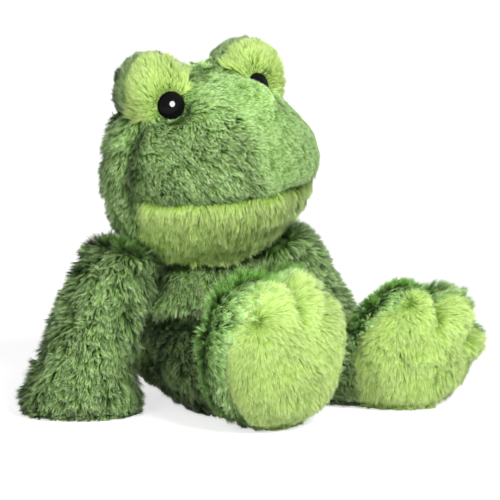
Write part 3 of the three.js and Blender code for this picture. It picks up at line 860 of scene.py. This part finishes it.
def patch_of(body, panel, others):
    """The faces of one panel as a mesh that carries its pile's values at each point."""
    patch = bmesh.new()
    patch.from_mesh(skins[body].data)
    patch.faces.ensure_lookup_table()
    bmesh.ops.delete(patch, geom=bare_faces(patch, body, panel, others), context="FACES")
    mesh = bpy.data.meshes.new(f"{panel}_patch")
    patch.to_mesh(mesh)
    patch.free()
    for name, values in pile_values(body, panel, coordinates(mesh), coordinates(mesh, normals=True)).items():
        kind, field = ("FLOAT_VECTOR", "vector") if values.ndim > 1 else ("FLOAT", "value")
        mesh.attributes.new(name, kind, "POINT").data.foreach_set(field, values.ravel())
    return mesh


# Strands: each is a narrow leaf, bent, whose template is one unit long and wide. Tufts and wider locks of
# them lean together, differ in length and dye, and are shaded as the cloth below, turned with their lean.
# Strands darken towards a tuft's edge: painted shade in the gaps between tufts.
LEAF_WIDEST = 0.4
LEAF_BEND = 0.16
LOCK_TUFTS = 3.2
CALMING = 0.75
TUFT_SHORTEST = 0.76
TUFT_LONGER = 0.34
STRAND_LENGTHS = (0.8, 1.12)
STRAND_TURN = 0.4
TUFT_TURN = 1.1
LOCK_PULL = 0.3
TUFT_LEAN = 0.7
LOCK_LEAN = 0.9
STRAND_LEAN = 0.13
TUFT_SHADE = 0.62
STRAND_SHADE = 0.24
TUFT_REACH = 0.62
TUFT_EDGE_PAINTED_SHADE = 0.5
CALM_SHADE = 0.5


def strand_template():
    """The leaf that every strand is an instance of."""
    bend = LEAF_BEND * LEAF_WIDEST**2
    verts = [(0, 0, 0), (bend, -0.5, LEAF_WIDEST), (bend, 0.5, LEAF_WIDEST), (LEAF_BEND, 0, 1)]
    mesh = bpy.data.meshes.new("strand")
    mesh.from_pydata(verts, [], [(0, 1, 2), (1, 3, 2)])
    mesh.attributes.new("along", "FLOAT", "POINT").data.foreach_set("value", [v[2] for v in verts])
    leaf = bpy.data.objects.new("strand", mesh)
    bpy.context.scene.collection.objects.link(leaf)
    return leaf


def pile_nodes():
    """Geometry nodes that set strands all over a patch of backing, gathered into tufts and locks."""
    tree = bpy.data.node_groups.new("pile", "GeometryNodeTree")
    sockets = tree.interface
    sockets.new_socket("Patch", in_out="INPUT", socket_type="NodeSocketGeometry")
    sockets.new_socket("Pile", in_out="OUTPUT", socket_type="NodeSocketGeometry")
    for name, kind in (
        ("Strand", "NodeSocketObject"),
        ("Material", "NodeSocketMaterial"),
        ("Density", "NodeSocketFloat"),
        ("Seed", "NodeSocketInt"),
        ("Width", "NodeSocketFloat"),
        ("Tuft", "NodeSocketFloat"),
    ):
        sockets.new_socket(name, in_out="INPUT", socket_type=kind)
    given = tree.nodes.new("NodeGroupInput").outputs

    def named(name, kind="FLOAT"):
        return add(tree, "GeometryNodeInputNamedAttribute", {"Name": name}, data_type=kind).outputs["Attribute"]

    def vector(operation, *values, scale=None):
        inputs = dict(enumerate(values))
        if scale is not None:
            inputs["Scale"] = scale
        return add(tree, "ShaderNodeVectorMath", inputs, operation=operation).outputs["Vector"]

    def scaled(value, scale):
        return vector("SCALE", value, scale=scale)

    def joined(first, *others):
        """The sum of some vectors."""
        for other in others:
            first = vector("ADD", first, other)
        return first

    def number(operation, *values):
        return add(tree, "ShaderNodeMath", dict(enumerate(values)), operation=operation).outputs["Value"]

    def total(*values):
        """The sum of some numbers, each given alone or as a pair to multiply."""
        terms = [number("MULTIPLY", *value) if isinstance(value, tuple) else value for value in values]
        result = terms[0]
        for term in terms[1:]:
            result = number("ADD", result, term)
        return result

    def chance(low, high, shift):
        seed = number("ADD", given["Seed"], shift)
        return add(tree, "FunctionNodeRandomValue", {2: low, 3: high, "Seed": seed}, data_type="FLOAT").outputs[1]

    def cells(tufts_wide):
        """Cells that are some tufts wide, with the lean that each gives its strands."""
        scale = number("DIVIDE", 1 / tufts_wide, given["Tuft"])
        made = add(tree, "ShaderNodeTexVoronoi", {"Vector": place, "Scale": scale}).outputs
        return made, vector("SUBTRACT", made["Color"], (0.5, 0.5, 0.5))

    def stored(geometry, name, value, kind="FLOAT"):
        inputs = {"Geometry": geometry, "Name": name, "Value": value}
        node = add(tree, "GeometryNodeStoreNamedAttribute", inputs, data_type=kind, domain="POINT")
        return node.outputs["Geometry"]

    scatter = add(
        tree,
        "GeometryNodeDistributePointsOnFaces",
        {"Mesh": given["Patch"], "Density": given["Density"], "Seed": given["Seed"]},
    ).outputs
    place = add(tree, "GeometryNodeInputPosition").outputs["Position"]
    tufts, tuft_lean = cells(1)
    locks, lock_lean = cells(LOCK_TUFTS)
    tuft_dye = add(tree, "ShaderNodeSeparateXYZ", {0: tufts["Color"]}).outputs
    calm = named("calm")
    wild = total(1.0, (calm, -CALMING))
    spread = add(
        tree,
        "FunctionNodeRandomValue",
        {"Min": (-1, -1, -1), "Max": (1, 1, 1), "Seed": given["Seed"]},
        data_type="FLOAT_VECTOR",
    ).outputs["Value"]

    tuft_length = total(TUFT_SHORTEST, (tuft_dye["X"], TUFT_LONGER))
    length = number("MULTIPLY", number("MULTIPLY", named("pile"), tuft_length), chance(*STRAND_LENGTHS, 1))

    turned = scaled(joined(scaled(spread, STRAND_TURN), scaled(tuft_lean, TUFT_TURN)), wild)
    turned_normal = vector("NORMALIZE", joined(scatter["Normal"], turned))
    rooted = stored(scatter["Points"], "root_normal", turned_normal, "FLOAT_VECTOR")

    pull = number("DIVIDE", named("pull"), length)
    gather = scaled(vector("SUBTRACT", tufts["Position"], place), pull)
    gather_locks = scaled(vector("SUBTRACT", locks["Position"], place), number("MULTIPLY", pull, LOCK_PULL))
    loose = scaled(joined(scaled(tuft_lean, TUFT_LEAN), scaled(lock_lean, LOCK_LEAN)), wild)
    upright = scaled(scatter["Normal"], named("upright"))
    lean = joined(named("lie", "FLOAT_VECTOR"), upright, gather, gather_locks, loose, scaled(spread, STRAND_LEAN))
    direction = vector("NORMALIZE", lean)

    # Painted shade: a strand is darker the nearer it stands to its tuft's edge, for the shade in the gaps between
    # tufts.
    reach = number("SUBTRACT", TUFT_REACH, tufts["Distance"])
    varied = total((tuft_dye["Y"], TUFT_SHADE), (chance(0.0, 1.0, 2), STRAND_SHADE), (reach, TUFT_EDGE_PAINTED_SHADE))
    shade = total((varied, wild), (calm, CALM_SHADE), named("tone"))
    shaded = stored(rooted, "shade", number("MINIMUM", number("MAXIMUM", shade, 0.0), 1.0))

    risen = add(tree, "FunctionNodeAlignRotationToVector", {"Vector": direction}, axis="Z").outputs["Rotation"]
    inwards = {"Rotation": risen, "Vector": scaled(scatter["Normal"], -1.0)}
    rotation = add(tree, "FunctionNodeAlignRotationToVector", inwards, axis="X", pivot_axis="Z").outputs["Rotation"]
    size = add(tree, "ShaderNodeCombineXYZ", {"X": length, "Y": given["Width"], "Z": length}).outputs["Vector"]
    leaf = add(tree, "GeometryNodeObjectInfo", {"Object": given["Strand"]}).outputs["Geometry"]
    planted = add(
        tree,
        "GeometryNodeInstanceOnPoints",
        {"Points": shaded, "Instance": leaf, "Rotation": rotation, "Scale": size},
    ).outputs["Instances"]
    real = add(tree, "GeometryNodeRealizeInstances", {"Geometry": planted}).outputs["Geometry"]
    dyed = add(tree, "GeometryNodeSetMaterial", {"Geometry": real, "Material": given["Material"]}).outputs["Geometry"]
    tree.links.new(dyed, tree.nodes.new("NodeGroupOutput").inputs["Pile"])
    return tree


strand = strand_template()
pile_tree = pile_nodes()
MAP_EDGE = 0.03


def read_points(mesh, name, field, width=1):
    """The values of a mesh's attribute at its points."""
    values = np.zeros(len(mesh.vertices) * width)
    mesh.attributes[name].data.foreach_get(field, values)
    return values


def grown_pile(name, patch, panel, dye, seed):
    """The pile of one patch as a plain mesh, with its map and with the backing's normals."""
    pile = bpy.data.objects.new(name, patch)
    bpy.context.scene.collection.objects.link(pile)
    grow = pile.modifiers.new("grow", "NODES")
    grow.node_group = pile_tree
    kind = row_of(PILES, panel)
    values = {
        "Strand": strand,
        "Material": dye,
        "Density": kind.density / MM**2 * 1,
        "Seed": seed,
        "Width": STRAND_WIDTH * math.sqrt(STRAND_WIDTH_DENSITY / kind.density) * 1,
        "Tuft": kind.tuft * MM,
    }
    for item in pile_tree.interface.items_tree:
        if item.in_out == "INPUT" and item.name in values:
            grow[item.identifier] = values[item.name]
    applied(pile)
    grown = pile.data
    places = coordinates(grown)
    places[:, 2] = np.maximum(places[:, 2], FLOOR_CLEAR / 2)
    set_coordinates(grown, places)
    corners = np.zeros(len(grown.loops), int)
    grown.loops.foreach_get("vertex_index", corners)
    along, shade = (read_points(grown, attribute, "value") for attribute in ("along", "shade"))
    flat = np.stack([along, shade], 1)[corners] * (1 - 2 * MAP_EDGE) + MAP_EDGE
    normals = read_points(grown, "root_normal", "vector", 3).reshape(-1, 3)
    grown.uv_layers.new(name="OFBake").data.foreach_set("uv", flat.ravel())
    grown.polygons.foreach_set("use_smooth", [True] * len(grown.polygons))
    grown.normals_split_custom_set_from_vertices(normals)
    for attribute in ("along", "shade", "root_normal", "lie", "pile", "upright", "pull", "calm", "tone"):
        if attribute in grown.attributes:
            grown.attributes.remove(grown.attributes[attribute])
    return pile


seed = 1
for body in bodies:
    others = solid_tree([panel for other in bodies if other != body for panel in panel_names(other)])
    for panel in panel_names(body):
        dye = lime_pile if is_lime(panel) else green_pile
        pile = grown_pile(f"{panel}_pile", patch_of(body, panel, others), panel, dye, seed)
        seed += 1
        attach(pile, body)
bpy.data.objects.remove(strand)


# Eyes: domed buttons of moulded and polished black plastic. Each has a shank that goes through the cloth,
# and a washer pressed on it behind the cloth holds the button.
EYE_TURNS = 48
EYE_RINGS = 10
SHANK_RADIUS = 2 * MM
SHANK_LENGTH = 2 * MM
BACK_SHARE = 0.96
RIM_HEIGHT = 0.4 * MM
WELD = 1e-6
eye_plastic, _, _ = material(
    "eye black polished plastic",
    {"Roughness": 0.06, "Base Color": linear("#020202"), "Specular IOR Level": 0.06},
)


def eye_button(side):
    """A smooth dome over the CAD button, with a rounded rim and a flat back."""
    middle, axis, radius, back, crown = eyes[side]
    rim = back + RIM_HEIGHT
    profile = [(0, back - SHANK_LENGTH), (SHANK_RADIUS, back - SHANK_LENGTH), (SHANK_RADIUS, back)]
    profile.append((radius * BACK_SHARE, back))
    for ring in range(EYE_RINGS + 1):
        angle = ring / EYE_RINGS * math.pi / 2
        profile.append((radius * math.cos(angle), rim + (crown - rim) * math.sin(angle)))
    shape = bmesh.new()
    line = [shape.verts.new((r, 0, h)) for r, h in profile]
    edges = [shape.edges.new(pair) for pair in zip(line, line[1:])]
    bmesh.ops.spin(
        shape,
        geom=line + edges,
        cent=(0, 0, 0),
        axis=(0, 0, 1),
        angle=2 * math.pi,
        steps=EYE_TURNS,
        use_duplicate=False,
    )
    bmesh.ops.remove_doubles(shape, verts=shape.verts, dist=WELD)
    bmesh.ops.recalc_face_normals(shape, faces=shape.faces)
    mesh = bpy.data.meshes.new(f"eye_{side}")
    shape.to_mesh(mesh)
    shape.free()
    turn = Vector(axis).to_track_quat("Z", "Y").to_matrix().to_4x4()
    mesh.transform(Matrix.Translation(Vector(middle)) @ turn)
    mesh.polygons.foreach_set("use_smooth", [True] * len(mesh.polygons))
    mesh.materials.append(eye_plastic)
    button = bpy.data.objects.new(f"eye_{side}", mesh)
    bpy.context.scene.collection.objects.link(button)
    return button


buttons = bpy.data.collections.new("eyes")
for side in SIDES:
    button = eye_button(side)
    buttons.objects.link(button)
    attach(button, "head")
    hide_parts(f"eye_button_{side}", f"eye_washer_{side}")


# Studio: a floor of white paper in a white room, a large soft key lamp above and in front, a weaker fill
# on the frog's right, and a small round lamp that lights only the eyes and makes their catch light.
FLOOR_SIZE = 60
FLOOR_GLOW = 0.7
FLOOR_FADE = (0.25, 0.9)
SKY_ON_FROG = 0.3
LAMP_AIM = Vector((0, 0, 0.1))


def seen(tree):
    """1 for a ray from the camera, by way of glass or a mirror too, and 0 for one that lights the frog."""
    path = add(tree, "ShaderNodeLightPath").outputs
    ways = {0: path["Is Glossy Ray"], 1: path["Is Transmission Ray"]}
    mirrored = add(tree, "ShaderNodeMath", ways, operation="MAXIMUM")
    direct = add(tree, "ShaderNodeMath", {0: path["Is Camera Ray"], 1: mirrored.outputs["Value"]}, operation="MAXIMUM")
    return direct.outputs["Value"]


floor_material, floor_tree, floor_surface = material(
    "floor white paper",
    {"Roughness": 1.0, "Base Color": linear("#c4c4c4"), "Emission Color": linear("#ffffff")},
)
floor_place = add(floor_tree, "ShaderNodeTexCoord").outputs["Object"]
from_middle = add(floor_tree, "ShaderNodeVectorMath", {0: floor_place}, operation="LENGTH").outputs["Value"]
floor_fade = add(
    floor_tree,
    "ShaderNodeMapRange",
    {"Value": from_middle, "From Min": FLOOR_FADE[0], "From Max": FLOOR_FADE[1], "To Min": FLOOR_GLOW, "To Max": 1.0},
    interpolation_type="SMOOTHSTEP",
)
floor_glow = add(
    floor_tree, "ShaderNodeMath", {0: seen(floor_tree), 1: floor_fade.outputs["Result"]}, operation="MULTIPLY"
)
floor_tree.links.new(floor_glow.outputs["Value"], floor_surface.inputs["Emission Strength"])
bpy.ops.mesh.primitive_plane_add(size=FLOOR_SIZE)
floor = bpy.context.object
floor.name = "floor"
floor.data.materials.append(floor_material)

world = bpy.data.worlds.new("room")
bpy.context.scene.world = world
world.use_nodes = True
sky = world.node_tree.nodes["Background"]
strength = add(
    world.node_tree, "ShaderNodeMapRange", {"Value": seen(world.node_tree), "To Min": SKY_ON_FROG, "To Max": 1.0}
)
world.node_tree.links.new(strength.outputs["Result"], sky.inputs["Strength"])
sky.inputs["Color"].default_value = (1, 1, 1, 1)


def lamp(name, azimuth, elevation, distance, size, power, mirrored=False):
    """A soft lamp aimed at the frog, which the eyes mirror or not."""
    data = bpy.data.lights.new(name, "AREA")
    data.size = size
    data.energy = power
    light = bpy.data.objects.new(name, data)
    light.visible_glossy = mirrored
    bpy.context.scene.collection.objects.link(light)
    turn, rise = math.radians(azimuth), math.radians(elevation)
    out = Vector((math.sin(turn) * math.cos(rise), -math.cos(turn) * math.cos(rise), math.sin(rise)))
    light.location = LAMP_AIM + out * distance
    light.rotation_euler = (-out).to_track_quat("-Z", "Y").to_euler()
    return light


lamp("key", azimuth=0, elevation=37, distance=1.5, size=0.5, power=27)
lamp("fill", azimuth=-62, elevation=26, distance=1.6, size=0.8, power=9)
catch = lamp("catch", azimuth=-2, elevation=15, distance=0.6, size=0.25, power=29, mirrored=True)
catch.data.shape = "DISK"
catch.light_linking.receiver_collection = buttons

bpy.context.scene.view_settings.view_transform = "Standard"
